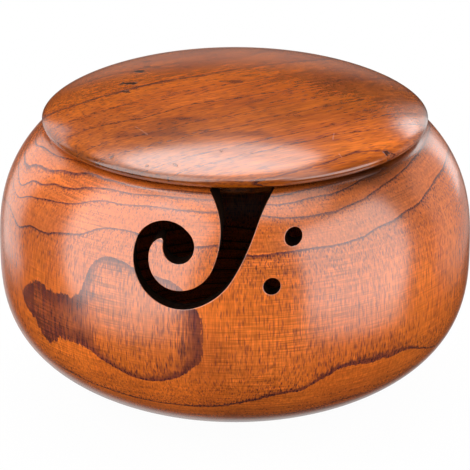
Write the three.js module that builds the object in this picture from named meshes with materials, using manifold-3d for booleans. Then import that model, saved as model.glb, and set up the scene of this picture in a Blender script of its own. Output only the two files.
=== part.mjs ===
// A lidded wooden yarn bowl, for holding a ball of yarn while knitting.
// The bowl is turned from one block, with a spiral slot that guides the yarn and two holes for needles.
// The lid is a domed disc with a spigot that drops into the bowl's mouth.
// Millimetres, +Z up, origin under the middle of the base. The slot faces -Y.

import * as THREE from 'three';
import { mergeVertices, toCreasedNormals } from 'three/addons/utils/BufferGeometryUtils.js';
import Module from 'manifold-3d';

// Outside of the bowl
const bellyRadius = 75;
const bellyHeight = 48; // widest ring, over the base
const baseRadius = 34.5; // flat underside
const rimRadius = 59.3;
const rimHeight = 86.1; // the lid's seat, over the base
const rimRound = 3; // how far the rim is rounded over, on the wall and on the seat
const lowerFullness = 3; // the higher, the longer the wall stays upright on its way to the base
const upperFullness = 2.5; // the same, on its way to the rim

// Hollow of the bowl
const wall = 5.3; // at the belly
const seatWidth = 8; // rim, where the lid rests
const lipDepth = 3; // straight part of the mouth
const floorThickness = 8;
const floorRadius = 38;

// Lid
const lidOverhang = 1.5; // past the rim
const edgeRound = 2.5; // under the lid's edge
const domeRise = 13; // from the lid's edge to its middle
const domeFullness = 1.44; // 1 is an ellipse, more is a flatter cone-like dome
const spigotDepth = 5;
const spigotRound = 0.8;
const spigotClearance = 0.3; // all round, in the mouth
const seatGap = 0.3; // between the rim and the lid's underside

// Yarn slot, seen from the front. Its edge starts at the rim, left of the stem, and is one chain of
// tangent arcs. Each arc is [radius, turn in degrees], and a turn to the left is positive.
const slotLeft = -0.5; // where the edge crosses the rim, from the middle
const slotHeading = -43; // degrees over the horizontal
const slotArcs = [
  [15.5, -47], // shoulder of the stem
  [23.5, -23], // left side of the stem
  [11.5, -70], // inner edge under the tongue
  [9, -103], // inner edge round the curl
  [4.5, -57], // back over the tongue
  [0.8, -118], // tip of the tongue
  [4.8, 236], // eye in which the yarn rests
  [10.5, 88], // outer edge over the top of the curl
  [6.5, 27],
  [14.5, 129], // outer edge round the curl
  [21, 40], // foot of the stem
  [63, 14], // right side of the stem
  [37, -16], // flare to the rim
];

// Needle holes, right of the slot
const needleHoleRadius = 2.5;
const needleHoles = [
  { x: 25.8, belowRim: 12.1 },
  { x: 20.2, belowRim: 25.6 },
];

// Fineness of the turned shapes and of the cuts
const turnedSegments = 72;
const curveSteps = 11;
const roundSteps = 3;
const arcStep = 10; // degrees along the slot's edge
const holeSegments = 20;
const cutMargin = 5; // how far a cutter reaches past what it cuts

const mouthRadius = rimRadius - seatWidth;
const lidRadius = rimRadius + lidOverhang;
const spigotRadius = mouthRadius - spigotClearance;
const lidUnderside = rimHeight + seatGap;
const { degToRad, lerp } = THREE.MathUtils;
const point = (x, y) => new THREE.Vector2(x, y);

const wasm = await Module();
wasm.setup();

// Solid of a closed geometry, with its shared vertices merged and its empty triangles left out
function solidOf(geometry) {
  const bare = geometry.clone();
  bare.deleteAttribute('normal');
  bare.deleteAttribute('uv');
  const merged = mergeVertices(bare);
  const corners = merged.index.array;
  const triangles = [];
  for (let i = 0; i < corners.length; i += 3) {
    const [a, b, c] = corners.slice(i, i + 3);
    if (a !== b && b !== c && c !== a) triangles.push(a, b, c);
  }
  return new wasm.Manifold(new wasm.Mesh({
    numProp: 3,
    vertProperties: merged.attributes.position.array,
    triVerts: new Uint32Array(triangles),
  }));
}

// Geometry of a solid, smooth but for its real edges
function geometryOf(solid) {
  const mesh = solid.getMesh();
  const geometry = new THREE.BufferGeometry();
  geometry.setAttribute('position', new THREE.BufferAttribute(mesh.vertProperties, 3));
  geometry.setIndex(new THREE.BufferAttribute(mesh.triVerts, 1));
  return toCreasedNormals(geometry, degToRad(30));
}

// Turned solid from a profile of (radius, height) that starts and ends on the axis
function turned(profile) {
  return new THREE.LatheGeometry(profile, turnedSegments).rotateX(Math.PI / 2);
}

// Profile of a bowl's wall from its widest ring to its end ring
function wallCurve(widest, end, fullness) {
  const points = [];
  for (let k = 0; k <= curveSteps; k += 1) {
    const t = Math.sin((k / curveSteps) * (Math.PI / 2));
    const narrowing = (widest.x ** 2 - end.x ** 2) * t ** fullness;
    points.push(point(Math.sqrt(widest.x ** 2 - narrowing), lerp(widest.y, end.y, t)));
  }
  return points;
}

// Points of a round corner, from one angle to another in degrees
function roundCorner(centre, radius, from, to) {
  const arc = new THREE.EllipseCurve(centre.x, centre.y, radius, radius, degToRad(from), degToRad(to));
  return arc.getPoints(roundSteps);
}

// Points of an eased corner that starts and ends at a given reach from it
function easedCorner(before, corner, after, reach) {
  const start = corner.clone().lerp(before, reach / corner.distanceTo(before));
  const end = corner.clone().lerp(after, reach / corner.distanceTo(after));
  return new THREE.QuadraticBezierCurve(start, corner, end).getPoints(roundSteps);
}

function bowlBlank() {
  const belly = point(bellyRadius, bellyHeight);
  const hollow = point(bellyRadius - wall, bellyHeight);
  const rim = point(rimRadius, rimHeight);
  const mouth = point(mouthRadius, rimHeight);
  const upperWall = wallCurve(belly, rim, upperFullness).filter((p) => p.distanceTo(rim) > rimRound);
  return turned([
    point(0, 0),
    ...wallCurve(belly, point(baseRadius, 0), lowerFullness).reverse(),
    ...upperWall.slice(1),
    ...easedCorner(upperWall.at(-1), rim, mouth, rimRound),
    mouth,
    ...wallCurve(hollow, point(mouthRadius, rimHeight - lipDepth), upperFullness).reverse(),
    ...wallCurve(hollow, point(floorRadius, floorThickness), lowerFullness).slice(1),
    point(0, floorThickness),
  ]);
}

// Edge of the yarn slot in the (x, z) plane, run out straight past the rim at both ends
function slotOutline() {
  const top = rimHeight + cutMargin;
  const at = point(slotLeft, rimHeight);
  let heading = degToRad(slotHeading);
  const outline = [point(at.x - cutMargin / Math.tan(-heading), top), at.clone()];
  for (const [radius, turn] of slotArcs) {
    const start = heading - Math.sign(turn) * (Math.PI / 2);
    const end = start + degToRad(turn);
    const centre = at.clone().sub(point(Math.cos(start), Math.sin(start)).multiplyScalar(radius));
    const arc = new THREE.EllipseCurve(centre.x, centre.y, radius, radius, start, end, turn < 0);
    outline.push(...arc.getPoints(Math.ceil(Math.abs(turn) / arcStep)).slice(1));
    at.copy(outline.at(-1));
    heading += degToRad(turn);
  }
  outline.push(point(at.x + (top - at.y) / Math.tan(heading), top));
  return outline;
}

// The cutters go through the front wall only, straight along Y
const cutFrom = -mouthRadius / 2;
const cutDepth = bellyRadius + cutMargin + cutFrom;

function slotCutter() {
  const shape = new THREE.Shape(slotOutline());
  const cutter = new THREE.ExtrudeGeometry(shape, { depth: cutDepth, bevelEnabled: false });
  return cutter.rotateX(Math.PI / 2).translate(0, cutFrom, 0);
}

function holeCutter({ x, belowRim }) {
  const cutter = new THREE.CylinderGeometry(needleHoleRadius, needleHoleRadius, cutDepth, holeSegments);
  return cutter.translate(x, cutFrom - cutDepth / 2, rimHeight - belowRim);
}

function bowl() {
  let solid = solidOf(bowlBlank()).subtract(solidOf(slotCutter()));
  for (const hole of needleHoles) {
    solid = solid.subtract(solidOf(holeCutter(hole)));
  }
  return geometryOf(solid);
}

function lid() {
  const edgeHeight = lidUnderside + edgeRound;
  const spigotFoot = lidUnderside - spigotDepth;
  const dome = [];
  for (let k = 1; k <= curveSteps; k += 1) {
    const angle = (k / curveSteps) * (Math.PI / 2);
    const radius = k < curveSteps ? lidRadius * Math.cos(angle) : 0;
    dome.push(point(radius, edgeHeight + domeRise * Math.sin(angle) ** domeFullness));
  }
  const profile = [
    point(0, spigotFoot),
    ...roundCorner(point(spigotRadius - spigotRound, spigotFoot + spigotRound), spigotRound, -90, 0),
    point(spigotRadius, lidUnderside),
    ...roundCorner(point(lidRadius - edgeRound, edgeHeight), edgeRound, -90, 0),
    ...dome,
  ];
  return geometryOf(solidOf(turned(profile)));
}

const bowlWood = new THREE.MeshStandardMaterial({ color: 0xb0602c, roughness: 0.3, metalness: 0 });
const lidWood = new THREE.MeshStandardMaterial({ color: 0xb8692f, roughness: 0.3, metalness: 0 });

const group = new THREE.Group();

const bowlMesh = new THREE.Mesh(bowl(), bowlWood);
bowlMesh.name = 'bowl';
group.add(bowlMesh);

const lidMesh = new THREE.Mesh(lid(), lidWood);
lidMesh.name = 'lid';
group.add(lidMesh);

export default group;
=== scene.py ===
# Looks of a lidded wooden yarn bowl: turned and lacquered wood with a spiral yarn slot.
# Metres, +Z up, the slot faces -Y. Sizes are written in millimetres and scaled once.

import math

import bpy
import numpy as np
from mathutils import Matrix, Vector


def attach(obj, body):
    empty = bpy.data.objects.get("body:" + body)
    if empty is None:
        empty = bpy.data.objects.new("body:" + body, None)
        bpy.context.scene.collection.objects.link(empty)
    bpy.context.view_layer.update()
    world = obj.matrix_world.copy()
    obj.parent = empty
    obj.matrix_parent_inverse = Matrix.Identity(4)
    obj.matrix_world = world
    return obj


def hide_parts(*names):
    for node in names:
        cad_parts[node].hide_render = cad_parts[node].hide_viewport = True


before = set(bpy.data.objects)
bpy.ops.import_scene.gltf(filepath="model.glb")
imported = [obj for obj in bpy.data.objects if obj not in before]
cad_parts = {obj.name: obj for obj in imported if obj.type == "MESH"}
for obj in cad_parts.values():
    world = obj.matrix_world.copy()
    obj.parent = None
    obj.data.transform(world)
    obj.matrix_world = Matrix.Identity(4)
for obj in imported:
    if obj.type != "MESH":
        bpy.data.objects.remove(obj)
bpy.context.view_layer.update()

MM = 0.001

# Bowl, the same sizes as its solid
BELLY_RADIUS = 75
BELLY_HEIGHT = 48
BASE_RADIUS = 34.5
RIM_RADIUS = 59.3
RIM_HEIGHT = 86.1
LOWER_FULLNESS = 3
UPPER_FULLNESS = 2.5
WALL = 5.3
SEAT_WIDTH = 8
LIP_DEPTH = 3
FLOOR_THICKNESS = 8
FLOOR_RADIUS = 38
MOUTH_RADIUS = RIM_RADIUS - SEAT_WIDTH

# How far the bowl's corners are rounded over
RIM_ROUND = 3
BASE_ROUND = 1.2
MOUTH_ROUND = 0.9
LIP_ROUND = 0.7
FLOOR_ROUND = 3

# Lid
LID_RADIUS = RIM_RADIUS + 1.5
LID_UNDERSIDE = RIM_HEIGHT + 0.3
EDGE_ROUND = 2.5
DOME_RISE = 13
DOME_FULLNESS = 1.44
SPIGOT_RADIUS = MOUTH_RADIUS - 0.3
SPIGOT_FOOT = LID_UNDERSIDE - 5
SPIGOT_ROUND = 0.8
SPIGOT_ROOT_ROUND = 0.5  # where the spigot meets the lid's underside

# Yarn slot: a chain of tangent arcs (radius, turn in degrees) from the rim, left of the stem
SLOT_LEFT = -0.5
SLOT_HEADING = -43
SLOT_ARCS = [
    (15.5, -47), (23.5, -23), (11.5, -70), (9, -103), (4.5, -57), (0.8, -118), (4.8, 236),
    (10.5, 88), (6.5, 27), (14.5, 129), (21, 40), (63, 14), (37, -16),
]
NEEDLE_HOLE_RADIUS = 2.5
NEEDLE_HOLES = [(25.8, RIM_HEIGHT - 12.1), (20.2, RIM_HEIGHT - 25.6)]
SANDED_EDGE = 0.35  # how far the edges of the slot and the holes are rounded over
CUT_MARGIN = 5  # how far the cutter reaches past what it cuts

# Fineness of the turned shapes and of the cuts
TURNED_SEGMENTS = 256
EDGE_STEPS = 8
DOME_STEPS = 52
DOME_CROWDING = 1.15  # more than 1 brings the dome's rings closer together at the lid's edge
WELD_DISTANCE = 0.002
SLOT_STEP_TURN = 6  # degrees
SLOT_STEP_LENGTH = 0.8
HOLE_SEGMENTS = 48

# The rounded edge of a cut, as (out of the cut, into the wall) in shares of SANDED_EDGE
ROUND_OVER = [(0.99, -0.06), (0.66, 0.06), (0.293, 0.293), (0.08, 0.61), (0, 1), (0, 2)]

# Telling the finished mesh's vertices and faces apart
ON_SURFACE = 0.02  # a vertex no deeper than this below the turned surface lies on it
ON_AXIS = 0.01  # a vertex no farther than this from the turning axis lies on it
CUT_DEPTH = 0.2  # faces deeper than this belong to the slot and the holes
SHARP_ANGLE = 40  # degrees
SAME_WAY = 0.6  # least cosine between a face corner's normal and the turned surface's

ROWS_AT_A_TIME = 8000  # of a long list of places, to save memory


# Profiles

def wall_curve(widest, end, fullness, steps):
    """Profile of a wall from its widest ring to its end ring, as (radius, height)."""
    points = []
    for k in range(steps + 1):
        t = math.sin(k / steps * math.pi / 2)
        narrowing = (widest[0] ** 2 - end[0] ** 2) * t ** fullness
        height = widest[1] + (end[1] - widest[1]) * t
        points.append((math.sqrt(widest[0] ** 2 - narrowing), height))
    return points


def straight(start, end, step=4):
    """Points of a straight run of a profile, its start left out."""
    count = max(1, math.ceil(math.dist(start, end) / step))
    first, run = np.array(start), np.array(end) - np.array(start)
    return [tuple(first + run * k / count) for k in range(1, count + 1)]


def along(points, corner, reach, direction):
    """The point that lies reach from a profile's corner, and the index of the last point before it."""
    here, index, left = points[corner], corner, reach
    while True:
        following = points[index + direction]
        length = math.dist(here, following)
        if length > left:
            share = left / length
            return tuple(here[i] + (following[i] - here[i]) * share for i in (0, 1)), index
        left -= length
        here, index = following, index + direction


def eased(points, corner_point, reach, steps=6):
    """The profile with one corner rounded over, from reach before it to reach after it."""
    corner = min(range(len(points)), key=lambda i: math.dist(points[i], corner_point))
    before, first = along(points, corner, reach, -1)
    after, last = along(points, corner, reach, 1)
    middle = points[corner]
    bend = []
    for k in range(steps + 1):
        t = k / steps
        weights = ((1 - t) ** 2, 2 * t * (1 - t), t * t)
        bend.append(tuple(
            weights[0] * before[i] + weights[1] * middle[i] + weights[2] * after[i] for i in (0, 1)
        ))
    return points[:first] + bend + points[last + 1:]


def bowl_profile():
    belly = (BELLY_RADIUS, BELLY_HEIGHT)
    hollow = (BELLY_RADIUS - WALL, BELLY_HEIGHT)
    base, rim, mouth = (BASE_RADIUS, 0), (RIM_RADIUS, RIM_HEIGHT), (MOUTH_RADIUS, RIM_HEIGHT)
    lip, floor = (MOUTH_RADIUS, RIM_HEIGHT - LIP_DEPTH), (FLOOR_RADIUS, FLOOR_THICKNESS)
    points = [(0, 0)] + straight((0, 0), base)[:-1]
    points += wall_curve(belly, base, LOWER_FULLNESS, steps=34)[::-1]
    points += wall_curve(belly, rim, UPPER_FULLNESS, steps=30)[1:]
    points += straight(rim, mouth, step=2) + straight(mouth, lip, step=1)
    points += wall_curve(hollow, lip, UPPER_FULLNESS, steps=22)[::-1][1:]
    points += wall_curve(hollow, floor, LOWER_FULLNESS, steps=24)[1:]
    points += straight(floor, (0, FLOOR_THICKNESS))
    corners = [
        (base, BASE_ROUND), (rim, RIM_ROUND), (mouth, MOUTH_ROUND), (lip, LIP_ROUND), (floor, FLOOR_ROUND),
    ]
    for corner, reach in corners:
        points = eased(points, corner, reach)
    return points


def lid_profile():
    edge_height = LID_UNDERSIDE + EDGE_ROUND
    foot, inner = (SPIGOT_RADIUS, SPIGOT_FOOT), (SPIGOT_RADIUS, LID_UNDERSIDE)
    points = [(0, SPIGOT_FOOT)] + straight((0, SPIGOT_FOOT), foot) + straight(foot, inner, step=1)
    points += straight(inner, (LID_RADIUS - EDGE_ROUND, LID_UNDERSIDE), step=1.5)
    for k in range(1, EDGE_STEPS + 1):
        angle = math.radians(90 * k / EDGE_STEPS)
        points.append((
            LID_RADIUS - EDGE_ROUND + EDGE_ROUND * math.sin(angle),
            edge_height - EDGE_ROUND * math.cos(angle),
        ))
    for k in range(1, DOME_STEPS + 1):
        angle = math.pi / 2 * (k / DOME_STEPS) ** DOME_CROWDING
        radius = LID_RADIUS * math.cos(angle) if k < DOME_STEPS else 0
        points.append((radius, edge_height + DOME_RISE * math.sin(angle) ** DOME_FULLNESS))
    for corner, reach in ((foot, SPIGOT_ROUND), (inner, SPIGOT_ROOT_ROUND)):
        points = eased(points, corner, reach)
    return points


def wall_radius(height, end_low, end_high, widest, low, high):
    """Radius of a turned wall at each height, from its lower end ring to its upper one."""
    height = np.asarray(height, float)
    below = height < BELLY_HEIGHT
    reach = np.where(below, BELLY_HEIGHT - low, high - BELLY_HEIGHT)
    t = np.clip(np.abs(height - BELLY_HEIGHT) / reach, 0, 1)
    end = np.where(below, end_low, end_high)
    fullness = np.where(below, LOWER_FULLNESS, UPPER_FULLNESS)
    return np.sqrt(widest ** 2 - (widest ** 2 - end ** 2) * t ** fullness)


def outer_radius(height):
    return wall_radius(height, BASE_RADIUS, RIM_RADIUS, BELLY_RADIUS, 0, RIM_HEIGHT)


def inner_radius(height):
    lip = RIM_HEIGHT - LIP_DEPTH
    return wall_radius(height, FLOOR_RADIUS, MOUTH_RADIUS, BELLY_RADIUS - WALL, FLOOR_THICKNESS, lip)


# Node helpers

def add(tree, kind, inputs=None, **settings):
    """A new node. Inputs are values or other nodes' outputs, by name or number."""
    node = tree.nodes.new(kind)
    for name, value in settings.items():
        setattr(node, name, value)
    for key, value in (inputs or {}).items():
        if isinstance(value, bpy.types.NodeSocket):
            tree.links.new(value, node.inputs[key])
        else:
            node.inputs[key].default_value = value
    return node


def calc(tree, operation, *values, clamp=False):
    node = add(tree, "ShaderNodeMath", dict(enumerate(values)), operation=operation, use_clamp=clamp)
    return node.outputs[0]


# The lathe, in Geometry Nodes

def lathe_tree():
    """Turns a row of profile points (radius, 0, height) round the z axis into a closed shape."""
    tree = bpy.data.node_groups.new("turned_on_the_lathe", "GeometryNodeTree")
    for label, side, kind in (
        ("Profile", "INPUT", "Geometry"), ("Segments", "INPUT", "Int"), ("Weld Distance", "INPUT", "Float"),
        ("Material", "INPUT", "Material"), ("Turned", "OUTPUT", "Geometry"),
    ):
        tree.interface.new_socket(label, in_out=side, socket_type="NodeSocket" + kind)
    given = add(tree, "NodeGroupInput").outputs
    size = add(tree, "GeometryNodeAttributeDomainSize", {"Geometry": given["Profile"]})
    count = size.outputs["Point Count"]

    # A grid with one column for each segment and one row for each point of the profile
    columns = calc(tree, "ADD", given["Segments"], 1)
    grid = add(tree, "GeometryNodeMeshGrid", {"Vertices X": columns, "Vertices Y": count})
    index = add(tree, "GeometryNodeInputIndex").outputs[0]
    row = calc(tree, "MODULO", index, count)
    column = calc(tree, "FLOOR", calc(tree, "DIVIDE", calc(tree, "ADD", index, 0.5), count))

    # Each of its vertices goes to its point of the profile, turned round the axis
    angle = calc(tree, "MULTIPLY", calc(tree, "DIVIDE", column, given["Segments"]), 2 * math.pi)
    position = add(tree, "GeometryNodeInputPosition").outputs[0]
    sample = add(tree, "GeometryNodeSampleIndex", {
        "Geometry": given["Profile"], "Value": position, "Index": row,
    }, data_type="FLOAT_VECTOR")
    at = add(tree, "ShaderNodeSeparateXYZ", {0: sample.outputs["Value"]}).outputs
    place = add(tree, "ShaderNodeCombineXYZ", {
        "X": calc(tree, "MULTIPLY", at["X"], calc(tree, "COSINE", angle)),
        "Y": calc(tree, "MULTIPLY", at["X"], calc(tree, "SINE", angle)), "Z": at["Z"],
    })
    turn = add(tree, "GeometryNodeSetPosition", {
        "Geometry": grid.outputs["Mesh"], "Position": place.outputs[0],
    })
    weld = add(tree, "GeometryNodeMergeByDistance", {
        "Geometry": turn.outputs[0], "Distance": given["Weld Distance"],
    })
    smooth = add(tree, "GeometryNodeSetShadeSmooth", {"Geometry": weld.outputs[0]})
    real = add(tree, "GeometryNodeRealizeInstances", {"Geometry": smooth.outputs[0]})
    finish = add(tree, "GeometryNodeSetMaterial", {
        "Geometry": real.outputs[0], "Material": given["Material"],
    })
    add(tree, "NodeGroupOutput", {"Turned": finish.outputs[0]})
    return tree


def new_object(name, vertices, edges=(), faces=()):
    mesh = bpy.data.meshes.new(name)
    mesh.from_pydata([tuple(v) for v in vertices], list(edges), list(faces))
    piece = bpy.data.objects.new(name, mesh)
    bpy.context.scene.collection.objects.link(piece)
    return piece


def turned(name, profile, material, cutter=None):
    """A turned piece as a plain mesh, less what the cutter takes away."""
    rows = [(radius * MM, 0, height * MM) for radius, height in profile]
    blank = new_object(name + "_blank", rows, [(i, i + 1) for i in range(len(rows) - 1)])
    lathe = blank.modifiers.new("lathe", "NODES")
    lathe.node_group = LATHE
    values = {"Segments": TURNED_SEGMENTS, "Weld Distance": WELD_DISTANCE * MM, "Material": material}
    for item in LATHE.interface.items_tree:
        if item.name in values:
            lathe[item.identifier] = values[item.name]
    if cutter:
        cut = blank.modifiers.new("cut", "BOOLEAN")
        cut.operation = "DIFFERENCE"
        cut.solver = "MANIFOLD"
        cut.object = cutter
    bpy.context.view_layer.update()
    evaluated = blank.evaluated_get(bpy.context.evaluated_depsgraph_get())
    mesh = bpy.data.meshes.new_from_object(evaluated)
    mesh.name = name
    mesh.materials.clear()
    mesh.materials.append(material)
    piece = bpy.data.objects.new(name, mesh)
    bpy.context.scene.collection.objects.link(piece)
    bpy.data.objects.remove(blank)
    if cutter:
        bpy.data.objects.remove(cutter)
    return piece


# Slot and needle holes

def slot_outline():
    """Edge of the slot as (x, z, outward x, outward z), run out straight past the rim at both ends."""
    top = RIM_HEIGHT + CUT_MARGIN
    heading = math.radians(SLOT_HEADING)
    x, z = SLOT_LEFT, RIM_HEIGHT
    side = (math.sin(heading), -math.cos(heading))
    outline = [(x - CUT_MARGIN / math.tan(-heading), top, *side), (x, z, *side)]
    for radius, turn in SLOT_ARCS:
        sign = math.copysign(1, turn)
        start = heading - sign * math.pi / 2
        centre = (x - radius * math.cos(start), z - radius * math.sin(start))
        length = radius * math.radians(abs(turn))
        steps = max(math.ceil(abs(turn) / SLOT_STEP_TURN), math.ceil(length / SLOT_STEP_LENGTH))
        for k in range(1, steps + 1):
            angle = start + math.radians(turn) * k / steps
            x, z = centre[0] + radius * math.cos(angle), centre[1] + radius * math.sin(angle)
            outline.append((x, z, sign * math.cos(angle), sign * math.sin(angle)))
        heading += math.radians(turn)
    side = (math.sin(heading), -math.cos(heading))
    outline.append((x + CUT_MARGIN / math.tan(heading), top, *side))
    return outline


def hole_outline(x, z):
    """Edge of a needle hole in the same way."""
    outline = []
    for k in range(HOLE_SEGMENTS):
        angle = 2 * math.pi * k / HOLE_SEGMENTS
        side = (math.cos(angle), math.sin(angle))
        outline.append((x + NEEDLE_HOLE_RADIUS * side[0], z + NEEDLE_HOLE_RADIUS * side[1], *side))
    return outline


def cutter_rings(outline):
    """Rings of a cutter along Y that rounds over the edges it leaves in both faces of the wall."""
    x, z, out_x, out_z = np.array(outline).T

    def ring(wall, out, depth):
        ring_x, ring_z = x + out_x * out * SANDED_EDGE, z + out_z * out * SANDED_EDGE
        radius = wall(np.minimum(ring_z, RIM_HEIGHT))
        ring_y = -np.sqrt(radius ** 2 - ring_x ** 2) + depth * SANDED_EDGE
        return np.stack([ring_x, ring_y, ring_z], 1)

    rings = [ring(outer_radius, out, depth) for out, depth in ROUND_OVER]
    rings += [ring(inner_radius, out, -depth) for out, depth in ROUND_OVER[::-1]]
    middle = len(ROUND_OVER)
    rings.insert(middle, (rings[middle - 1] + rings[middle]) / 2)
    for end, y in ((0, -(BELLY_RADIUS + CUT_MARGIN)), (-1, -MOUTH_RADIUS / 2)):
        cap = rings[end].copy()
        cap[:, 1] = y
        rings.insert(0 if end == 0 else len(rings), cap)
    return rings


def wall_cutter():
    """One object that cuts the yarn slot and the needle holes through the front wall."""
    outlines = [slot_outline()] + [hole_outline(x, z) for x, z in NEEDLE_HOLES]
    vertices, faces = [], []
    for outline in outlines:
        rings, count = cutter_rings(outline), len(outline)
        first = len(vertices)
        for ring in rings:
            vertices += [tuple(v * MM) for v in ring]
        for level in range(len(rings) - 1):
            for k in range(count):
                a, b = first + level * count + k, first + level * count + (k + 1) % count
                faces.append((a, a + count, b + count, b))
        last = first + (len(rings) - 1) * count
        faces.append(tuple(range(first, first + count)))
        faces.append(tuple(range(last, last + count))[::-1])
    return new_object("wall_cutter", vertices, faces=faces)


# Shading of the turned surfaces

def profile_distance(points, profile):
    """For each (radius, height): its distance to the profile, and the profile's outward normal there."""
    profile = np.array(profile, float)
    start, run = profile[:-1], profile[1:] - profile[:-1]
    length = np.hypot(*run.T)
    across = np.stack([run[:, 1], -run[:, 0]], 1) / length[:, None]
    share = across / length[:, None]
    joint = np.vstack([across[:1], share[:-1] + share[1:], across[-1:]])
    joint /= np.hypot(*joint.T)[:, None]
    distance, normal = np.empty(len(points)), np.empty((len(points), 2))
    for low in range(0, len(points), ROWS_AT_A_TIME):
        part = points[low:low + ROWS_AT_A_TIME]
        offset = part[:, None] - start[None]
        share = np.clip((offset * run).sum(2) / length ** 2, 0, 1)
        gap = offset - share[..., None] * run
        away = np.hypot(gap[..., 0], gap[..., 1])
        best = away.argmin(1)
        rows = np.arange(len(part))
        t = share[rows, best][:, None]
        distance[low:low + ROWS_AT_A_TIME] = away[rows, best]
        normal[low:low + ROWS_AT_A_TIME] = joint[best] * (1 - t) + joint[best + 1] * t
    return distance, normal


def vertex_places(mesh):
    places = np.empty(len(mesh.vertices) * 3)
    mesh.vertices.foreach_get("co", places)
    return places.reshape(-1, 3) / MM


def smooth_turned(piece, profile):
    """Exact normals on the turned surface, and each vertex's depth below it in millimetres."""
    mesh = piece.data
    places = vertex_places(mesh)
    radius = np.hypot(places[:, 0], places[:, 1])
    distance, flat = profile_distance(np.stack([radius, places[:, 2]], 1), profile)
    safe = np.maximum(radius, 1e-6)
    exact = np.stack([flat[:, 0] * places[:, 0] / safe, flat[:, 0] * places[:, 1] / safe, flat[:, 1]], 1)
    exact /= np.maximum(np.linalg.norm(exact, axis=1), 1e-9)[:, None]
    on_surface = (distance < ON_SURFACE) & (radius > ON_AXIS)
    mesh.shade_smooth()
    mesh.set_sharp_from_angle(angle=math.radians(SHARP_ANGLE))
    corner_normals = np.empty(len(mesh.loops) * 3)
    mesh.corner_normals.foreach_get("vector", corner_normals)
    corner_normals = corner_normals.reshape(-1, 3)
    corner_vertex = np.empty(len(mesh.loops), int)
    mesh.loops.foreach_get("vertex_index", corner_vertex)
    wanted = exact[corner_vertex]
    same_way = (wanted * corner_normals).sum(1) > SAME_WAY
    turned_corners = on_surface[corner_vertex] & same_way
    corner_normals[turned_corners] = wanted[turned_corners]
    mesh.normals_split_custom_set([tuple(n) for n in corner_normals])
    return places, distance


def set_attribute(mesh, name, values):
    kind, field = ("FLOAT_VECTOR", "vector") if values.ndim == 2 else ("FLOAT", "value")
    stored = mesh.attributes.new(name, kind, "POINT")
    stored.data.foreach_set(field, values.astype(np.float32).ravel())


# Growth rings
# The tree's rings run through both pieces. The attribute "rings" is a vertex's place across the rings, in
# millimetres from the pith outwards, and "grain" is its place with x along the fibres.

# Each ring of the bowl: its start, the width of its dark band and its share of pores
BOWL_RINGS = [
    (9, 0.4, 0.6), (16, 0.3, 0.6), (21, 0.4, 0.6), (28, 0.4, 0.6), (33.5, 0.3, 0.6), (38, 0.4, 0.6),
    (43.5, 0.4, 0.6), (49, 0.4, 0.6), (54, 0.4, 0.4), (57.6, 0.4, 0.3), (60.2, 0.45, 0.3),
    (62, 0.45, 0.3), (64.6, 0.5, 0.35), (70.2, 0.36, 1.0), (74.6, 0.85, 0.9), (81, 0.5, 0.9),
]

# Where rings show on the bowl's outer wall: a ring's start, then the (azimuth, height) of points on it.
# The azimuth is 0 in front and grows to the right.
BOWL_RING_MARKS = [
    (74.6, [
        (-31, 55), (-30, 58), (-29, 61), (-27, 64.5), (-24, 66), (-21, 65.5), (-17, 64), (-12, 62.5),
        (-8, 61.5), (-5, 59.5), (-1, 53), (0, 48), (0, 43), (0, 38), (-2, 34), (-7, 29.5), (-14, 27),
        (-20, 28.5), (-25, 31), (-30, 35), (-33, 33), (-39, 34), (-44, 30), (-48, 37.5), (-54, 40),
        (-54, 43), (-50, 47.5), (-47, 51), (-43, 50.5), (-39, 49), (-35, 51), (-33, 50),
    ]),
    (70.2, [
        (-67, 65.5), (-62, 64.5), (-57, 63), (-54, 65.5), (-47, 66), (-41, 68), (-36, 69), (-32, 70.5),
        (-29, 72.5), (-26, 73.5), (-20, 74), (-17, 73.5), (-2, 72), (3, 72.5), (10, 70), (14, 70),
        (18, 70), (22, 70.5), (30, 70.5), (34, 70.5), (38, 71), (42, 71.5), (46, 73), (50, 73),
        (54, 74), (60, 74.5), (65, 75.5), (72, 77), (89, 78), (-66, 32), (-54, 23.5), (-43, 21.5),
        (-38, 21), (-34, 20), (-30, 19.5), (-20, 18.5), (-11, 18), (-4, 18), (3, 19), (9, 20.5),
        (13, 22), (17, 23.5), (22, 24), (25, 25), (27, 27), (29, 28.5), (32, 30.5), (35, 31.5),
        (39, 31), (42, 30), (44, 31), (48, 30), (51, 31), (56, 29.5), (62, 26.5), (68, 24), (73, 24),
    ]),
    (64.6, [
        (-62, 70.5), (-58, 73), (-51, 74.5), (-46, 75.5), (-39, 77), (-34, 79), (-30, 80), (-25, 80),
        (-16, 81), (-7, 81), (2, 81), (15, 80), (18, 79.5), (23, 79), (28, 79), (34, 79), (39, 80),
        (45, 80.5), (48, 81.5), (54, 82.5), (-3, 10), (9, 10.5), (16, 11.5), (26, 13), (34, 15.5),
        (43, 16), (52, 16.5), (60, 20),
    ]),
    (62, [
        (-66, 73), (-61, 76), (-55, 77), (-46, 79.5), (-40, 80.5), (-34, 82), (-30, 83), (-24, 83),
        (-17, 83.5), (17, 82.5), (21, 82.5), (26, 83), (32, 83.5), (37, 83.5), (45, 85),
    ]),
    (60.2, [(-72, 78), (-69, 78.5), (-63, 80.5), (-56, 81.5), (-50, 83), (-42, 84.5), (-37, 85.5)]),
    (57.6, [(-78, 83), (-70, 83.5), (-62, 84.5), (-56, 85)]),
]

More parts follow.
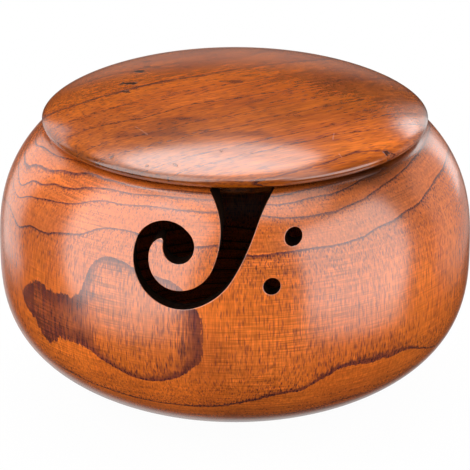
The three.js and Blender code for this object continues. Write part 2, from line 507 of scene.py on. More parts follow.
# The wood between those lines and round the back: (azimuth, height, place across the rings)
BOWL_RING_CALM = [
    (-15, 46, 77.5), (-43, 42, 75), (-38, 42, 75.05), (-48, 43, 74.95), (-34, 44, 75.05),
    (-31, 43, 75.1), (-30, 50, 75.1), (-25.5, 44, 76.6), (-25.5, 53, 76.6), (-24, 38, 76.4),
    (-4, 45, 75.1), (-8, 45, 75.9), (30, 48, 73.6), (60, 50, 73.2), (85, 50, 73), (-75, 45, 73),
    (12, 50, 73.9), (-62, 45, 73.2), (-55, 55, 73.4), (120, 45, 73.5), (150, 46, 75.8), (180, 48, 73),
    (-150, 44, 72.4), (-120, 48, 76), (-95, 46, 71.6), (120, 80, 67), (160, 80, 65.5), (-160, 80, 66),
    (-120, 80, 67), (-95, 80, 64.5), (110, 14, 65), (160, 14, 66.5), (-150, 14, 65), (-110, 14, 64),
]
MARK_RADIUS = 70  # the marks lie on a drum of this radius
MARK_SOFTNESS = 7  # how far a mark's pull is rounded off, in millimetres
MARK_SLACK = 0.1  # how far the surface may pass a mark by


def on_drum(azimuth, height):
    """Places on the drum that the marks lie on."""
    angle, height = np.radians(azimuth), np.asarray(height, float)
    return np.stack([MARK_RADIUS * np.sin(angle), -MARK_RADIUS * np.cos(angle), height], -1)


def smooth_through(marks, values):
    """A smooth function of place that takes the given values at the marks."""
    def spread(a):
        apart = ((a[:, None] - marks[None]) ** 2).sum(-1)
        return -np.sqrt(apart + MARK_SOFTNESS ** 2)

    count = len(marks)
    system = np.ones((count + 1, count + 1))
    system[:count, :count] = spread(marks) + MARK_SLACK * np.eye(count)
    system[count, count] = 0
    weights = np.linalg.solve(system, np.append(values, 0))

    def value(places):
        starts = range(0, len(places), ROWS_AT_A_TIME)
        parts = [spread(places[low:low + ROWS_AT_A_TIME]) @ weights[:-1] for low in starts]
        return np.concatenate(parts) + weights[-1]

    return value


def azimuths_of(places):
    return np.degrees(np.arctan2(places[:, 0], -places[:, 1]))


def bowl_rings(places):
    """Place across the rings of each vertex of the bowl."""
    marks = [(azimuth, height, start) for start, line in BOWL_RING_MARKS for azimuth, height in line]
    azimuths, heights, targets = np.array(marks + BOWL_RING_CALM).T
    swelling = smooth_through(on_drum(azimuths, heights), outer_radius(heights) - targets)
    drum_places = on_drum(azimuths_of(places), places[:, 2])
    return np.hypot(places[:, 0], places[:, 1]) - swelling(drum_places)


# The lid comes from a board. Its rings lie round a far pith, behind it on the left, and are counted
# inwards.
LID_PITH = (-53, 69)
LID_RING_SUM = 200  # distance from the pith and place across the rings add up to about this
LID_FIBRE_RADIUS = 105  # the fibres' length is counted on a bow of this radius
LID_RINGS = [
    (35, 0.4, 0.6), (46, 0.4, 0.6), (56, 0.5, 0.5), (65.5, 0.25, 0.5), (70, 0.4, 0.6),
    (79.5, 0.25, 0.5), (86, 0.25, 0.6), (96, 0.5, 0.9), (107, 0.2, 0.6), (118, 1.4, 0.7),
    (133, 0.5, 0.7), (146, 0.4, 0.6), (158, 0.5, 0.6), (170, 0.4, 0.6),
]

# Where rings show on the lid, seen from above: a ring's start, then the (x, y) of points on it
LID_RING_MARKS = [
    (56, [(27, -52), (35.5, -45), (42.5, -38), (48, -33.5), (50, -32.5)]),
    (65.5, [(24, -41.5), (30, -37), (32.5, -34.5)]),
    (70, [(26.5, -34), (35.5, -27), (46, -15.5), (49.5, -10.5)]),
    (79.5, [(13, -33), (18, -29.5), (23.5, -23), (26.5, -20)]),
    (86, [(10, -27.5), (20, -18.5), (29.5, -9), (35, -2.5)]),
    (96, [
        (-41, -33), (-34, -32.5), (-24.5, -31.5), (-17, -28), (-10, -24), (-2, -21.5), (4.5, -18.5),
        (10, -14.5), (17.5, -9.5), (21.5, -3.5), (27, 0), (31, 5.5), (36, 11), (41, 18), (45, 25.5),
    ]),
    (118, [
        (-48, -14.5), (-40, -12), (-29, -8.5), (-21, -5), (-9, -0.5), (2.5, 7.5), (9, 13), (14.5, 18),
        (20, 24), (24, 30),
    ]),
    (133, [(-52, 6), (-41, 10), (-21, 13), (-8, 17.5), (0, 23), (4.5, 31.5)]),
]


def lid_bow(x, y):
    """Distance from the lid's far pith."""
    return np.hypot(x - LID_PITH[0], y - LID_PITH[1])


def lid_rings(places):
    """Place across the rings of each vertex of the lid."""
    marks = [(x, y, start) for start, line in LID_RING_MARKS for x, y in line]
    x, y, targets = np.array(marks).T
    swelling = smooth_through(np.stack([x, y], 1), LID_RING_SUM - lid_bow(x, y) - targets)
    return LID_RING_SUM - lid_bow(places[:, 0], places[:, 1]) - swelling(places[:, :2])


def lid_grain(places):
    """Place with x along the lid's fibres, which follow its rings."""
    turn = np.arctan2(places[:, 1] - LID_PITH[1], places[:, 0] - LID_PITH[0])
    return np.stack([turn * LID_FIBRE_RADIUS, lid_bow(places[:, 0], places[:, 1]), places[:, 2]], 1)


# Material helpers

def ramped(tree, value, low, high, out_low=0, out_high=1):
    """The value taken from one range to another along a smooth step."""
    node = add(tree, "ShaderNodeMapRange", {
        "Value": value, "From Min": low, "From Max": high, "To Min": out_low, "To Max": out_high,
    }, interpolation_type="SMOOTHSTEP")
    return node.outputs["Result"]


def mixed(tree, share, first, second):
    """A colour between two colours."""
    node = add(tree, "ShaderNodeMix", data_type="RGBA")
    for key, value in (("Factor_Float", share), ("A_Color", first), ("B_Color", second)):
        socket = next(s for s in node.inputs if s.identifier == key)
        if isinstance(value, bpy.types.NodeSocket):
            tree.links.new(value, socket)
        else:
            socket.default_value = value if key == "Factor_Float" else (*value[:3], 1)
    return next(s for s in node.outputs if s.identifier == "Result_Color")


def scaled(tree, vector, factor):
    return add(tree, "ShaderNodeVectorMath", {0: vector, 3: factor}, operation="SCALE").outputs[0]


def stretched(tree, grain, along, across):
    """Grain coordinates in which one unit is so many millimetres along and across the fibres."""
    factors = (1 / along, 1 / across, 1 / across)
    return add(tree, "ShaderNodeVectorMath", {0: grain, 1: factors}, operation="MULTIPLY").outputs[0]


def noise(tree, vector, detail=2, roughness=0.5):
    node = add(tree, "ShaderNodeTexNoise", {
        "Vector": vector, "Scale": 1, "Detail": detail, "Roughness": roughness,
    })
    return node.outputs["Fac"]


def swing(tree, value, reach=1.0):
    """Noise from 0 to 1 turned into a swing of so much to both sides of 0."""
    return calc(tree, "MULTIPLY", calc(tree, "SUBTRACT", value, 0.5), 2 * reach)


def group(name, inputs, outputs):
    """A new shader node group with inputs (name, kind, value) and outputs (name, kind)."""
    tree = bpy.data.node_groups.new(name, "ShaderNodeTree")
    kinds = {"value": "NodeSocketFloat", "vector": "NodeSocketVector", "colour": "NodeSocketColor"}
    for label, kind, value in inputs:
        socket = tree.interface.new_socket(label, in_out="INPUT", socket_type=kinds[kind])
        if value is not None:
            socket.default_value = (*value, 1) if kind == "colour" else value
    for label, kind in outputs:
        tree.interface.new_socket(label, in_out="OUTPUT", socket_type=kinds[kind])
    given = add(tree, "NodeGroupInput").outputs
    result = add(tree, "NodeGroupOutput").inputs
    return tree, given, result


def use(tree, grouped, inputs):
    """A group put to use in a material. A colour is given as three numbers."""
    node = tree.nodes.new("ShaderNodeGroup")
    node.node_tree = grouped
    for key, value in inputs.items():
        if isinstance(value, bpy.types.NodeSocket):
            tree.links.new(value, node.inputs[key])
        elif node.inputs[key].type == "RGBA":
            node.inputs[key].default_value = (*value, 1)
        else:
            node.inputs[key].default_value = value
    return node.outputs


# Effects that both woods use

def pores_group():
    """Pores: fine dark tubes along the fibres. Density is the share of them that are there."""
    tree, given, result = group("wood_pores", [
        ("Grain", "vector", None), ("Spacing", "value", 0.5), ("Length", "value", 7.0),
        ("Width", "value", 0.4), ("Density", "value", 0.5),
    ], [("Pores", "value")])
    cell = add(tree, "ShaderNodeCombineXYZ", {
        0: given["Length"], 1: given["Spacing"], 2: given["Spacing"],
    }).outputs[0]
    place = add(tree, "ShaderNodeVectorMath", {0: given["Grain"], 1: cell}, operation="DIVIDE").outputs[0]
    voronoi = add(tree, "ShaderNodeTexVoronoi", {"Vector": place, "Scale": 1.0, "Randomness": 1.0})
    own = add(tree, "ShaderNodeSeparateColor", {0: voronoi.outputs["Color"]}).outputs
    present = calc(tree, "LESS_THAN", own[0], given["Density"])
    reach = calc(tree, "MULTIPLY", given["Width"], ramped(tree, own[1], 0, 1, 0.7, 1.3))
    core = calc(tree, "MULTIPLY", reach, 0.4)
    shape = ramped(tree, voronoi.outputs["Distance"], reach, core)
    tree.links.new(calc(tree, "MULTIPLY", present, shape), result["Pores"])
    return tree


def rings_group(name, rings, top):
    """The ring that a place lies in, out of all that lie between the pith and the top of the range.

    Into is the way past the ring's start and Band the width of its dark band, both in millimetres.
    Porous is its share of pores.
    """
    tree, given, result = group(name, [
        ("Rings", "value", 0.0), ("Grain", "vector", None), ("Wander", "value", 0.5),
        ("Fray", "value", 0.2),
    ], [("Into", "value"), ("Band", "value"), ("Porous", "value")])
    wander = swing(tree, noise(tree, stretched(tree, given["Grain"], 14, 6)))
    fray = swing(tree, noise(tree, stretched(tree, given["Grain"], 3, 0.6), 3))
    place = calc(tree, "MULTIPLY_ADD", wander, given["Wander"], given["Rings"])
    place = calc(tree, "MULTIPLY_ADD", fray, given["Fray"], place)
    starts, bands, pores = (list(values) for values in zip((0, 0.5, 0.5), *rings))
    widths = [end - start for start, end in zip(starts, starts[1:] + [top])]
    shares = [k / len(starts) for k in range(len(starts))]

    def curve(value, across, up):
        """A line through the given points, run out level to 1."""
        node = add(tree, "ShaderNodeFloatCurve", {"Value": value})
        points = node.mapping.curves[0].points
        points[0].location, points[-1].location = (across[0], up[0]), (1, up[-1])
        for x, y in zip(across[1:], up[1:]):
            points.new(x, y)
        for point in points:
            point.handle_type = "VECTOR"
        node.mapping.update()
        return node.outputs[0]

    way_up = calc(tree, "DIVIDE", place, top)
    share = curve(way_up, [start / top for start in starts] + [1], shares + [1])
    number = calc(tree, "MULTIPLY", share, len(starts))
    whole = calc(tree, "DIVIDE", calc(tree, "FLOOR", number), len(starts))
    width = calc(tree, "MULTIPLY", curve(whole, shares, [width / top for width in widths]), top)
    tree.links.new(calc(tree, "MULTIPLY", calc(tree, "FRACT", number), width), result["Into"])
    tree.links.new(curve(whole, shares, bands), result["Band"])
    tree.links.new(curve(whole, shares, pores), result["Porous"])
    return tree


def turning_group():
    """Fine marks and broad bands round the turning axis, left by the lathe and by sanding."""
    tree, given, result = group("turning_marks", [
        ("Place", "vector", None), ("Across", "value", 0.0), ("Pitch", "value", 0.5),
        ("Run", "value", 12.0),
    ], [("Marks", "value"), ("Bands", "value")])
    at = add(tree, "ShaderNodeSeparateXYZ", {0: given["Place"]}).outputs

    def ringed(run, pitch, detail):
        vector = add(tree, "ShaderNodeCombineXYZ", {
            0: calc(tree, "DIVIDE", at[0], run), 1: calc(tree, "DIVIDE", at[1], run),
            2: calc(tree, "DIVIDE", given["Across"], pitch),
        }).outputs[0]
        return swing(tree, noise(tree, vector, detail, 0.6), 1.6)

    strong = ramped(tree, noise(tree, scaled(tree, given["Place"], 1 / 26), 1), 0.4, 0.65, 0.3, 1)
    marks = ringed(given["Run"], given["Pitch"], 2)
    bands = ringed(30, calc(tree, "MULTIPLY", given["Pitch"], 8), 1)
    tree.links.new(calc(tree, "MULTIPLY", marks, strong), result["Marks"])
    tree.links.new(bands, result["Bands"])
    return tree


def stroke_group():
    """A stroke over the turned top from one place to another, as a small knot, scratch or smudge."""
    tree, given, result = group("stroke", [
        ("Place", "vector", None), ("From", "vector", None), ("To", "vector", None),
        ("Width", "value", 1.0), ("Softness", "value", 0.5), ("Ragged", "value", 0.3),
    ], [("Stroke", "value")])

    def vector(operation, first, second):
        return add(tree, "ShaderNodeVectorMath", {0: first, 1: second}, operation=operation).outputs

    flat = vector("MULTIPLY", given["Place"], (1, 1, 0))[0]
    gone = vector("SUBTRACT", flat, given["From"])[0]
    run = vector("SUBTRACT", given["To"], given["From"])[0]
    gone_along = vector("DOT_PRODUCT", gone, run)["Value"]
    whole_run = vector("DOT_PRODUCT", run, run)["Value"]
    share = calc(tree, "DIVIDE", gone_along, whole_run, clamp=True)
    away = vector("DISTANCE", gone, scaled(tree, run, share))["Value"]
    rough = swing(tree, noise(tree, scaled(tree, given["Place"], 0.7), 2))
    away = calc(tree, "MULTIPLY_ADD", rough, given["Ragged"], away)
    core = calc(tree, "MULTIPLY", given["Width"], calc(tree, "SUBTRACT", 1, given["Softness"]))
    tree.links.new(ramped(tree, away, given["Width"], core), result["Stroke"])
    return tree


def colour_group():
    """Colour of lacquered wood from its place in the ring, its pores, marks, slow variation and a given
    tone that holds painted shade as well.
    """
    tree, given, result = group("wood_colour", [
        ("Into", "value", 3.0), ("Band", "value", 0.5), ("Pores", "value", 0.0),
        ("Fine Pores", "value", 0.0), ("Hairs", "value", 0.0), ("Marks", "value", 0.0),
        ("Tone And Shade", "value", 0.0), ("Grain", "vector", None), ("Feather", "value", 4.0),
        ("Shade", "value", 0.5), ("Figure", "value", 0.4), ("Cloud", "value", 0.1),
        ("Light", "colour", (0.7, 0.17, 0.03)), ("Deep", "colour", (0.5, 0.1, 0.015)),
        ("Dark", "colour", (0.14, 0.02, 0.01)),
    ], [("Colour", "colour")])
    into, grain, dark = given["Into"], given["Grain"], given["Dark"]

    # Ground colour, with broad and narrow streaks and a few dark clouds
    slow = ramped(tree, noise(tree, stretched(tree, grain, 60, 14), 3), 0.3, 0.7)
    streak = ramped(tree, noise(tree, stretched(tree, grain, 24, 1.1), 4, 0.6), 0.3, 0.7)
    figured = calc(tree, "MULTIPLY", streak, given["Figure"])
    deep = calc(tree, "ADD", calc(tree, "MULTIPLY", slow, 0.5), figured)
    ground = mixed(tree, deep, given["Light"], given["Deep"])
    cloud = ramped(tree, noise(tree, stretched(tree, grain, 15, 3.2), 4, 0.65), 0.5, 0.75)
    ground = mixed(tree, calc(tree, "MULTIPLY", cloud, given["Cloud"]), ground, dark)

    # Dark band at the ring's start, with fibres that hang out of it
    hanging = ramped(tree, noise(tree, stretched(tree, grain, 12, 0.7), 2), 0.45, 0.8)
    hang = calc(tree, "MULTIPLY_ADD", hanging, given["Feather"], 1)
    reach = calc(tree, "MULTIPLY", given["Band"], hang)
    band = ramped(tree, into, reach, calc(tree, "MULTIPLY", reach, 0.4))
    shade = calc(tree, "MULTIPLY", band, ramped(tree, into, 0.15, 0.5, 1, 0.7))
    shade = calc(tree, "MULTIPLY", shade, given["Shade"])
    shade = calc(tree, "MULTIPLY", shade, calc(tree, "MULTIPLY_ADD", streak, -0.35, 1.12))
    colour = mixed(tree, shade, ground, dark)

    # Pores, darkest where the ring starts
    strengths = {"Pores": ramped(tree, into, 0.5, 4, 0.75, 0.4), "Fine Pores": 0.55, "Hairs": 0.5}
    for label, strength in strengths.items():
        colour = mixed(tree, calc(tree, "MULTIPLY", given[label], strength), colour, dark)

    # Fine light and dark fibres, turning marks and the given tone: slow variation of the wood, with painted
    # shade in it
    fibres = swing(tree, noise(tree, stretched(tree, grain, 6, 0.55), 2), 0.62)
    lit = calc(tree, "ADD", given["Marks"], 1)
    lit = calc(tree, "MULTIPLY", lit, calc(tree, "ADD", 1, fibres))
    lit = calc(tree, "MULTIPLY", lit, calc(tree, "ADD", 1, given["Tone And Shade"]))
    tree.links.new(scaled(tree, colour, lit), result["Colour"])
    return tree


PORES = pores_group()
TURNING = turning_group()
STROKE = stroke_group()
COLOUR = colour_group()


# The two woods

SCRATCH_COLOUR = (0.8, 0.4, 0.25)
PIT_COLOUR = (0.02, 0.006, 0.004)
SANDED_COLOUR = (0.6, 0.3, 0.2)
# Painted shade: the sawn faces are coloured nearly black, as they lie in shade
SAWN_PAINTED_SHADE_COLOURS = (0.008, 0.004, 0.003), (0.018, 0.009, 0.006)
SAWN_PORE_PAINTED_SHADE_COLOUR = (0.003, 0.0015, 0.001)

# Relief of the lacquered surface, in millimetres
PORE_DEPTH = 0.012
MARK_HEIGHT = 0.013
PIT_DEPTH = 0.15


def attribute(tree, name, output="Fac"):
    return add(tree, "ShaderNodeAttribute", attribute_name=name).outputs[output]


def strokes(tree, place, marks, softness, ragged=0.3):
    """Strength of a set of strokes at a place, each given as from, to, width and strength."""
    total = 0
    for start, end, width, strength in marks:
        stroke = use(tree, STROKE, {
            "Place": place, "From": (*start, 0), "To": (*end, 0), "Width": width, "Softness": softness,
            "Ragged": ragged,
        })["Stroke"]
        total = calc(tree, "MAXIMUM", calc(tree, "MULTIPLY", stroke, strength), total)
    return total


def new_material(name):
    """A material without nodes, and its node tree."""
    material = bpy.data.materials.new(name)
    material.use_nodes = True
    material.node_tree.nodes.clear()
    return material, material.node_tree


def wood(name, rings, looks):
    """Lacquered wood: a clear coat over a satin ground. Looks holds what differs between the pieces."""
    material, tree = new_material(name)
    place = scaled(tree, add(tree, "ShaderNodeTexCoord").outputs["Object"], 1 / MM)
    grain = attribute(tree, "grain", "Vector")
    worn = attribute(tree, "worn")
    ring = use(tree, rings, {
        "Rings": attribute(tree, "rings"), "Grain": grain,
        "Wander": looks["wander"], "Fray": looks["fray"],
    })
    into, porous = ring["Into"], ring["Porous"]

    # Pores crowd where a ring starts, thin out to strays and all but end in its late wood
    stray = calc(tree, "MULTIPLY", porous, looks["stray"])
    early = ramped(tree, into, 0.6, 1.5, 1.0, stray)
    late = ramped(tree, into, looks["late"], looks["late"] + 1, 1.0, 0.12)
    open_wood = calc(tree, "MULTIPLY", late, porous)

    def pores(spacing, length, width, density):
        return use(tree, PORES, {
            "Grain": grain, "Spacing": spacing, "Length": length, "Width": width, "Density": density,
        })["Pores"]

    coarse = pores(0.55, 4.0, 0.42, calc(tree, "MULTIPLY", early, late))
    turning = use(tree, TURNING, {"Place": place, "Across": attribute(tree, "across")})
    marks = turning["Marks"]
    colour = use(tree, COLOUR, {
        "Into": into, "Band": ring["Band"], "Pores": coarse, "Fine Pores": pores(0.6, 3.4, 0.42, open_wood),
        "Hairs": pores(0.8, 30.0, 0.2, calc(tree, "MULTIPLY", open_wood, 0.8)),
        "Marks": calc(tree, "MULTIPLY", marks, looks["turned"]), "Grain": grain,
        "Tone And Shade": attribute(tree, "tone_and_shade"), "Feather": looks["feather"], "Shade": looks["shade"],
        "Figure": looks["figure"], "Cloud": looks["cloud"],
        "Light": looks["light"], "Deep": looks["deep"], "Dark": looks["dark"],
    })["Colour"]
    pits = 0
    if "knots" in looks:
        pits = strokes(tree, place, looks["knots"], softness=0.7, ragged=1.4)
        smudged = strokes(tree, place, looks["smudges"], softness=1.0)
        scratched = strokes(tree, place, looks["scratches"], softness=0.6)
        colour = mixed(tree, smudged, colour, looks["dark"])
        colour = mixed(tree, scratched, colour, SCRATCH_COLOUR)
        colour = mixed(tree, pits, colour, PIT_COLOUR)
    colour = mixed(tree, calc(tree, "MULTIPLY", worn, 0.3), colour, SANDED_COLOUR)
    height = calc(tree, "MULTIPLY_ADD", coarse, -PORE_DEPTH, calc(tree, "MULTIPLY", marks, MARK_HEIGHT))
    height = calc(tree, "MULTIPLY_ADD", pits, -PIT_DEPTH, height)
    bump = add(tree, "ShaderNodeBump", {"Strength": 1.0, "Distance": MM, "Height": height})
    rough = calc(tree, "MULTIPLY_ADD", turning["Bands"], 0.03, looks["rough"])
    shader = add(tree, "ShaderNodeBsdfPrincipled", {
        "Base Color": colour, "Roughness": rough, "IOR": 1.5, "Normal": bump.outputs[0],
        "Specular IOR Level": looks["ground_shine"], "Coat Weight": 1.0,
        "Coat Roughness": looks["coat_rough"], "Coat IOR": looks["coat_ior"],
    })
    add(tree, "ShaderNodeOutputMaterial", {"Surface": shader.outputs[0]})
    return material


def cut_wood():
    """The sawn faces of the slot and the holes, in painted shade: nearly black dull wood without a coat, as
    these faces lie in shade inside the wall.
    """
    material, tree = new_material("bowl_cut_wood_painted_shade")
    grain = attribute(tree, "grain", "Vector")
    streak = noise(tree, stretched(tree, grain, 12, 1.2), 3)
    pores = use(tree, PORES, {
        "Grain": grain, "Spacing": 0.6, "Length": 4.0, "Width": 0.4, "Density": 0.6,
    })["Pores"]
    colour = mixed(tree, ramped(tree, streak, 0.3, 0.7), *SAWN_PAINTED_SHADE_COLOURS)
    colour = mixed(tree, pores, colour, SAWN_PORE_PAINTED_SHADE_COLOUR)
    shader = add(tree, "ShaderNodeBsdfPrincipled", {
        "Base Color": colour, "Roughness": ramped(tree, streak, 0.3, 0.7, 0.6, 0.75), "IOR": 1.5,
        "Specular IOR Level": 0.0,
    })
    add(tree, "ShaderNodeOutputMaterial", {"Surface": shader.outputs[0]})
    return material


# What differs between the two woods. Wander and fray bend and roughen the rings, feather lengthens the
# fibres that hang out of a dark band and shade is its strength. Stray is the share of pores past a ring's
# start, late is where the dense wood begins, figure, cloud and turned are the strengths of streaks, dark
# clouds and turning marks, and the rest is the gloss of the ground and of the coat.
BOWL_LOOKS = {
    "light": (0.72, 0.16, 0.015), "deep": (0.55, 0.105, 0.009), "dark": (0.08, 0.014, 0.016),
    "feather": 2.4, "shade": 0.85, "stray": 0.55, "late": 3.6, "figure": 0.4, "cloud": 0.06,
    "wander": 0.2, "fray": 0.15, "rough": 0.24, "coat_rough": 0.2, "coat_ior": 1.8, "ground_shine": 0.5,
    "turned": 0.62,
}
LID_LOOKS = {
    "light": (0.68, 0.15, 0.006), "deep": (0.38, 0.073, 0.005), "dark": (0.07, 0.013, 0.016),
    "feather": 1.5, "shade": 0.78, "stray": 0.3, "late": 90.0, "figure": 0.7, "cloud": 0.35,
    "wander": 0.7, "fray": 0.5, "rough": 0.2, "coat_rough": 0.16, "coat_ior": 1.5, "ground_shine": 1.0,
    "turned": 0.15,
    # Small faults on the lid's top, seen from above: from, to, width and strength
    "knots": [
        ((-33, 9), (-31, 8), 1.4, 1.0), ((-35.5, -2.5), (-31.5, -4), 1.2, 1.0),
        ((-34, -10), (-32, -11.5), 0.9, 0.8), ((-30, 13.5), (-30, 13), 1.2, 0.8),
        ((-32, 22), (-31, 22), 1.2, 0.7), ((-27, 11), (-26, 11), 1.0, 0.7),
        ((50.5, -32), (51, -31.5), 1.0, 0.8),
        ((-31.5, -49), (-31, -49), 0.5, 0.6), ((-19.5, -55), (-19, -55), 0.5, 0.7),
        ((-11, -55.5), (-10.5, -55.5), 0.5, 0.6), ((2.5, -49.5), (3, -49.5), 0.5, 0.6),
    ],
    "smudges": [
        ((-3.5, -6), (2.5, -5.5), 1.6, 0.45), ((-12.5, -33), (-4.5, -34.5), 2.0, 0.4),
        ((-52.5, 6), (-41, 10), 1.4, 0.5), ((-31, -40), (-11, -41.5), 2.6, 0.45),
        ((-4, -41.5), (15, -39.5), 2.6, 0.4), ((-39, -12), (-30, -9), 0.8, 0.6),
        ((-30, -8), (-20, -4.5), 1.4, 0.65), ((-17, -3.5), (-9, -0.5), 0.7, 0.5),
    ],
    "scratches": [
        ((-26, -36), (-21.5, -41), 0.25, 0.2), ((34.5, -32), (34.5, -35.5), 0.25, 0.2),
        ((38, -42.5), (37, -41.5), 0.25, 0.2),
    ],
}
BOWL_WOOD = wood("bowl_wood", rings_group("bowl_growth_rings", BOWL_RINGS, top=90), BOWL_LOOKS)
LID_WOOD = wood("lid_wood", rings_group("lid_growth_rings", LID_RINGS, top=180), LID_LOOKS)

# Where the colour is lighter or darker than the rest, and how much: partly the wood's own tone, partly
# painted shade and light, such as painted shade under the lid's right edge. (azimuth, height, tone) on the
# bowl and (x, y, tone) on the lid
BOWL_TONES_AND_SHADE = [
    (0, 45, 0.08), (-5, 40, -0.1), (-16, 54, -0.1), (-16, 38, -0.1), (-40, 50, 0), (-45, 69, -0.15),
    (-62, 68, -0.1), (-60, 76, 0.1), (-8, 24, 0.1), (-60, 55, -0.1), (-58, 84, 0.2), (-36, 84, 0.25),
    (35, 80, -0.3), (47, 78, -0.35), (33, 74, -0.2), (51, 84, -0.5), (54, 80, -0.45), (65, 80, -0.3),
    (45, 50, 0.05), (54, 33, -0.15), (62, 55, 0.1), (-39, 30, 0), (-31, 26, 0.08), (-64, 38, 0.05),
    (-19, 29, -0.15), (1, 44, -0.05), (12, 38, 0.04), (7, 19, -0.25), (80, 50, 0), (-80, 50, 0),
    (0, 20, -0.05), (-40, 22, -0.1), (30, 20, -0.1), (0, 78, 0), (140, 45, 0), (-140, 45, 0),
]
LID_TONES_AND_SHADE = [
    (35, -31, 0.35), (29, -43, 0.12), (40, -38, 0.1), (46, -24, 0.35), (58, -13, 0.1), (-25, -39, -0.2),
    (-13, -41, -0.35), (-1, -41, -0.15), (45, -9, -0.2), (31, 3, -0.3), (33, -16, -0.2),
    (21, -22, -0.2), (-38, -35, -0.1), (-52, -28, 0.05), (5, 1, 0.05), (-9, -14, 0.3), (-24, -20, 0.15),
    (22, -15, 0.1), (-27, 2, -0.05), (-12, 10, 0), (-40, 10, 0.05), (-25, 40, 0.4), (0, 45, 0.35),
    (25, 40, 0.2), (19, 17, -0.05), (56, 0, -0.25), (-40, -15, 0), (0, -55, 0),
]

# The same round each piece, from one radius or height to another
RIM_PAINTED_SHADE = (82, 85.5), (0, -0.45)  # painted shade under the lid's edge, darkest at the rim
# Painted shade on the lid's rounded outer edge
LID_EDGE_PAINTED_SHADE = (59, 60.6), (0, -0.45)
SPIGOT_PAINTED_SHADE = (LID_UNDERSIDE - 0.6, LID_UNDERSIDE - 0.1), (0.2, 1)  # painted shade: the spigot is darkened by a factor, as it lies in shade under the lid


# Pieces

LATHE = lathe_tree()


def bowl_piece():
    profile = bowl_profile()
    piece = turned("bowl_turned", profile, BOWL_WOOD, wall_cutter())
    places, below = smooth_turned(piece, profile)
    # The tone holds the wood's own tone and painted shade, and the painted shade under the lid's edge is
    # added to it
    azimuths, heights, tones_and_shade = np.array(BOWL_TONES_AND_SHADE, float).T
    tone_and_shade = smooth_through(on_drum(azimuths, heights), tones_and_shade)
    # Painted shade on the bowl's wall just under the lid's edge
    rim_painted_shade = np.interp(places[:, 2], *RIM_PAINTED_SHADE)
    mesh = piece.data
    set_attribute(mesh, "rings", bowl_rings(places))
    set_attribute(mesh, "grain", places[:, [2, 0, 1]])
    set_attribute(mesh, "across", places[:, 2])
    set_attribute(mesh, "tone_and_shade", tone_and_shade(on_drum(azimuths_of(places), places[:, 2])) + rim_painted_shade)
    set_attribute(mesh, "worn", np.where(below > ON_SURFACE, 1.0, 0.0))
    mesh.materials.append(cut_wood())
    for face in mesh.polygons:
        if below[list(face.vertices)].mean() > CUT_DEPTH:
            face.material_index = 1
    return piece


def lid_piece():
    profile = lid_profile()
    piece = turned("lid_turned", profile, LID_WOOD)
    places, _ = smooth_turned(piece, profile)
    radii = np.hypot(places[:, 0], places[:, 1])
    xs, ys, tones_and_shade = np.array(LID_TONES_AND_SHADE, float).T
    tone_and_shade = smooth_through(np.stack([xs, ys], 1), tones_and_shade)
    # Painted shade on the lid's outer edge is added to the tone
    lit = 1 + tone_and_shade(places[:, :2]) + np.interp(radii, *LID_EDGE_PAINTED_SHADE)
    mesh = piece.data
    set_attribute(mesh, "rings", lid_rings(places))
    set_attribute(mesh, "grain", lid_grain(places))
    set_attribute(mesh, "across", radii)
    # Painted shade on the spigot darkens its colour by a factor
    set_attribute(mesh, "tone_and_shade", lit * np.interp(places[:, 2], *SPIGOT_PAINTED_SHADE) - 1)
    return piece


bowl = bowl_piece()
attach(bowl, "bowl")
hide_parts("bowl")

lid = lid_piece()
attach(lid, "lid")
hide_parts("lid")


# Floor, light and camera

VIEW_AZIMUTH = 7.3
VIEW_ELEVATION = 21.5
VIEW_DISTANCE = 1.05
VIEW_CENTRE = Vector((0, 0, 0.05025))
AIM = Vector((0, 0, 0.048))
LAMP_DISTANCE = 1.1
FLOOR_HALF = 3


def direction(azimuth, elevation):
    """Unit vector, the azimuth counted from the camera to the right."""
    a, e = math.radians(azimuth + VIEW_AZIMUTH), math.radians(elevation)
    return Vector((math.sin(a) * math.cos(e), -math.cos(a) * math.cos(e), math.sin(e)))


def panel(name, place, size, radiance, shines=True, lights=True, shape="RECTANGLE"):
    """A soft box that fills so many degrees as seen from the bowl.

    With shines off it isn't mirrored in the lacquer, and with lights off it is only mirrored.
    """
    light = bpy.data.lights.new(name, "AREA")
    light.shape = shape
    light.size, light.size_y = (
        2 * LAMP_DISTANCE * math.tan(math.radians(degrees / 2)) for degrees in size
    )
    area = light.size * light.size_y * (math.pi / 4 if shape == "ELLIPSE" else 1)
    light.energy = radiance * math.pi * area
    lamp = bpy.data.objects.new(name, light)
    away = direction(*place)
    lamp.location = VIEW_CENTRE + away * LAMP_DISTANCE
    lamp.rotation_euler = away.to_track_quat("Z", "Y").to_euler()
    lamp.visible_camera = False
    lamp.visible_glossy = shines
    lamp.visible_diffuse = lights
    bpy.context.scene.collection.objects.link(lamp)


panel("left_softbox", (-54, 17), (68, 80), 2.05)
panel("right_softbox", (60, 8.5), (57, 65), 1.98)
panel("overhead_softbox", (-158, 73), (50, 34), 2.45, lights=False, shape="ELLIPSE")
panel("overhead_glow", (-36, 86), (90, 50), 1.05, lights=False, shape="ELLIPSE")
panel("front_top_left", (-38, 60), (24, 18), 1.2, lights=False)
panel("front_top_right", (25, 60), (24, 18), 0.9, lights=False)
panel("back_left_strip", (-136, 5), (28, 53), 0.8)
panel("back_right_wide", (134, 3), (52, 50), 0.3)
panel("back_right_strip", (147, 10), (12, 38), 0.95)
panel("back_right_top", (147, 26), (14, 10), 1.0)
panel("left_fill", (-105, 15), (30, 60), 2.2, shines=False)
panel("right_fill", (105, 15), (30, 60), 3.4, shines=False)
panel("low_fill", (0, -35), (80, 40), 0.5, shines=False)
panel("front_fill", (0, 20), (40, 40), 0.8, shines=False)
panel("back_fill", (180, 52), (60, 50), 2.8, shines=False)


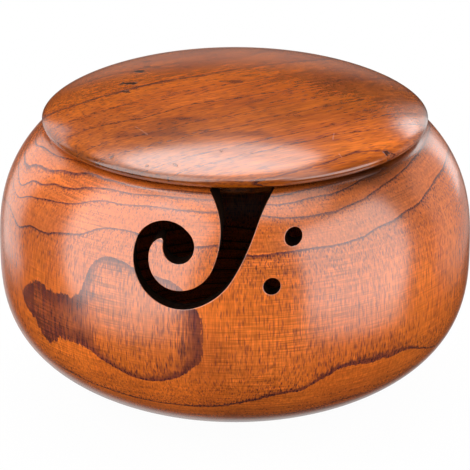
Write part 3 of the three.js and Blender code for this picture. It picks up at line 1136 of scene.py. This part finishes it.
def floor_material():
    """Pale and dull, and white to the camera but for a faint shadow close to the bowl."""
    material, tree = new_material("pale_floor")
    place = add(tree, "ShaderNodeTexCoord").outputs["Object"]
    away = add(tree, "ShaderNodeVectorMath", {0: place}, operation="LENGTH").outputs["Value"]
    seen = add(tree, "ShaderNodeLightPath").outputs["Is Camera Ray"]
    plain = add(tree, "ShaderNodeBsdfDiffuse", {"Color": (0.86, 0.86, 0.86, 1)})
    white = add(tree, "ShaderNodeEmission", {"Color": (1, 1, 1, 1), "Strength": 1.0})
    share = calc(tree, "MULTIPLY", seen, ramped(tree, away, 0.04, 0.2, 0.97, 1))
    blend = add(tree, "ShaderNodeMixShader", {0: share, 1: plain.outputs[0], 2: white.outputs[0]})
    add(tree, "ShaderNodeOutputMaterial", {"Surface": blend.outputs[0]})
    return material


corners = [(x * FLOOR_HALF, y * FLOOR_HALF, 0) for x, y in ((-1, -1), (1, -1), (1, 1), (-1, 1))]
floor = new_object("floor", corners, faces=[(0, 1, 2, 3)])
floor.data.materials.append(floor_material())
floor.visible_glossy = False
floor.visible_shadow = False
floor.visible_diffuse = False


def world_light():
    """White behind the bowl, a little light from all round, and what the lacquer mirrors from behind."""
    world = bpy.data.worlds.new("studio")
    world.use_nodes = True
    tree = world.node_tree
    tree.nodes.clear()
    rays = add(tree, "ShaderNodeLightPath").outputs
    away = add(tree, "ShaderNodeTexCoord").outputs["Generated"]

    def patch(place, edge, core, level):
        """A soft round patch of light, from the cosine at its edge to the one at its core."""
        middle = tuple(direction(*place))
        towards = add(tree, "ShaderNodeVectorMath", {0: away, 1: middle}, operation="DOT_PRODUCT")
        return ramped(tree, towards.outputs["Value"], edge, core, 0, level)

    behind = calc(tree, "ADD", patch((185, -31), 0.92, 0.99, 0.5), patch((180, 2), 0.97, 0.999, 0.16))
    mirrored = calc(tree, "ADD", behind, 0.02)
    dim, shine, white = (
        add(tree, "ShaderNodeBackground", {"Color": (1, 1, 1, 1), "Strength": strength}).outputs[0]
        for strength in (0.1, mirrored, 1.0)
    )
    blend = add(tree, "ShaderNodeMixShader", {0: rays["Is Glossy Ray"], 1: dim, 2: shine}).outputs[0]
    blend = add(tree, "ShaderNodeMixShader", {0: rays["Is Camera Ray"], 1: blend, 2: white}).outputs[0]
    add(tree, "ShaderNodeOutputWorld", {"Surface": blend})
    bpy.context.scene.world = world


world_light()

lens = bpy.data.cameras.new("camera")
lens.lens = 251.6
lens.sensor_width = 36
lens.clip_start = 0.05
camera = bpy.data.objects.new("camera", lens)
camera.location = VIEW_CENTRE + direction(0, VIEW_ELEVATION) * VIEW_DISTANCE
camera.rotation_euler = (camera.location - AIM).to_track_quat("Z", "Y").to_euler()
scene = bpy.context.scene
scene.collection.objects.link(camera)
scene.camera = camera
scene.view_settings.view_transform = "Standard"
